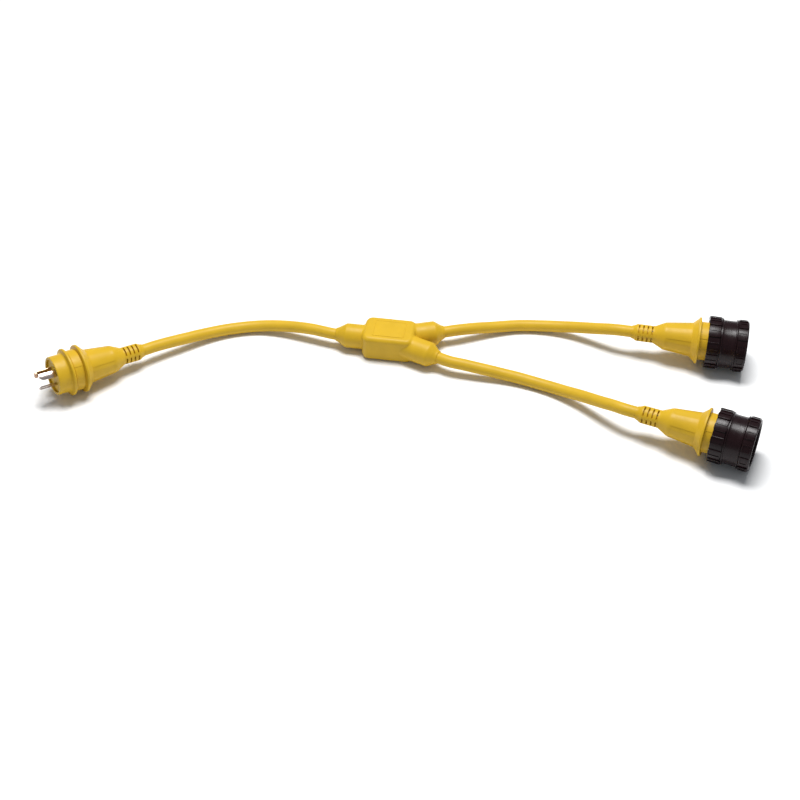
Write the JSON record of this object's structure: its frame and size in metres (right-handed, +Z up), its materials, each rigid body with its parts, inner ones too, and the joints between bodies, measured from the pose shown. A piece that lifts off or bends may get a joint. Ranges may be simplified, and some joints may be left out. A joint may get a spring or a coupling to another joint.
{
  "type": "power adapter lead",
  "caption": "Y-shaped cable adapter: a locking plug feeds a moulded junction and two locking connectors with screw collars.",
  "frame": {"origin": "middle of the junction's flat underside", "axes": "+X along the junction towards the two connectors, +Y towards the back connector, +Z up"},
  "size_m": [1.0078, 0.2869, 0.075],
  "materials": {
    "yellow_moulding": "satin moulded vinyl",
    "cable_jacket": "satin vinyl jacket",
    "blade_carrier": "fine moulded texture",
    "line_blade_metal": "nickel plated, polished",
    "ground_blade_metal": "brass, lightly worn",
    "lead_black": "smooth insulation",
    "lead_white": "smooth insulation",
    "lead_green": "smooth insulation",
    "capsule_nylon": "natural nylon",
    "tinned_copper": "tinned crimp",
    "contact_brass": "pressed strip",
    "carrier_black": "moulded thermoset",
    "insert_black": "moulded thermoset, fine texture",
    "collar_black": "semi-gloss moulded nylon",
    "washer_nylon": "natural nylon",
    "seal_rubber": "soft neoprene"
  },
  "bodies": {
    "lead": {"trunk_cable": "cable_jacket", "back_cable": "cable_jacket", "front_cable": "cable_jacket", "plug_overmould": "yellow_moulding", "plug_blade_carrier": "blade_carrier", "plug_hot_blade": "line_blade_metal", "plug_neutral_blade": "line_blade_metal", "plug_ground_blade": "ground_blade_metal", "plug_hot_lead": "lead_black", "plug_neutral_lead": "lead_white", "plug_ground_lead": "lead_green", "junction_overmould": "yellow_moulding", "junction_capsule_lower": "capsule_nylon", "junction_capsule_upper": "capsule_nylon", "junction_hot_splice": "tinned_copper", "junction_neutral_splice": "tinned_copper", "junction_ground_splice": "tinned_copper", "junction_hot_leads": "lead_black", "junction_neutral_leads": "lead_white", "junction_ground_leads": "lead_green", "back_overmould": "yellow_moulding", "back_contact_carrier": "carrier_black", "back_face_insert": "insert_black", "back_hot_contact": "contact_brass", "back_neutral_contact": "contact_brass", "back_ground_contact": "contact_brass", "back_hot_lead": "lead_black", "back_neutral_lead": "lead_white", "back_ground_lead": "lead_green", "front_overmould": "yellow_moulding", "front_contact_carrier": "carrier_black", "front_face_insert": "insert_black", "front_hot_contact": "contact_brass", "front_neutral_contact": "contact_brass", "front_ground_contact": "contact_brass", "front_hot_lead": "lead_black", "front_neutral_lead": "lead_white", "front_ground_lead": "lead_green"},
    "back_collar": {"back_collar_sleeve": "collar_black", "back_gland_seal": "seal_rubber", "back_face_gasket": "seal_rubber"},
    "back_washer": {"back_thrust_washer": "washer_nylon"},
    "back_gland_nut": {"back_gland_ring": "collar_black"},
    "back_coupling": {"back_coupling_ring": "collar_black"},
    "front_collar": {"front_collar_sleeve": "collar_black", "front_gland_seal": "seal_rubber", "front_face_gasket": "seal_rubber"},
    "front_washer": {"front_thrust_washer": "washer_nylon"},
    "front_gland_nut": {"front_gland_ring": "collar_black"},
    "front_coupling": {"front_coupling_ring": "collar_black"}
  },
  "joints": [
    {"name": "back_collar_slide", "type": "slide", "parent": "lead", "child": "back_collar", "axis": [0.9986, -0.0523, 0], "range_m": [-0.006, 0]},
    {"name": "back_gland_advance", "type": "slide", "parent": "back_collar", "child": "back_washer", "axis": [0.9986, -0.0523, 0], "range_m": [-0.003, 0]},
    {"name": "back_gland_turn", "type": "hinge", "parent": "back_washer", "child": "back_gland_nut", "pos_m": [0.46584, 0.04608, 0.0375], "axis": [0.9986, -0.0523, 0], "range_deg": [-360, 0]},
    {"name": "back_coupling_spin", "type": "hinge", "parent": "back_collar", "child": "back_coupling", "pos_m": [0.50578, 0.04398, 0.0375], "axis": [0.9986, -0.0523, 0], "continuous": true},
    {"name": "front_collar_slide", "type": "slide", "parent": "lead", "child": "front_collar", "axis": [0.9681, -0.2504, 0], "range_m": [-0.006, 0]},
    {"name": "front_gland_advance", "type": "slide", "parent": "front_collar", "child": "front_washer", "axis": [0.9681, -0.2504, 0], "range_m": [-0.003, 0]},
    {"name": "front_gland_turn", "type": "hinge", "parent": "front_washer", "child": "front_gland_nut", "pos_m": [0.47637, -0.15199, 0.0375], "axis": [0.9681, -0.2504, 0], "range_deg": [-360, 0]},
    {"name": "front_coupling_spin", "type": "hinge", "parent": "front_collar", "child": "front_coupling", "pos_m": [0.5151, -0.16201, 0.0375], "axis": [0.9681, -0.2504, 0], "continuous": true}
  ],
  "couplings": [
    {"joint": "back_gland_advance", "follows": "back_gland_turn", "m_per_rad": 0.00047746},
    {"joint": "front_gland_advance", "follows": "front_gland_turn", "m_per_rad": 0.00047746}
  ]
}
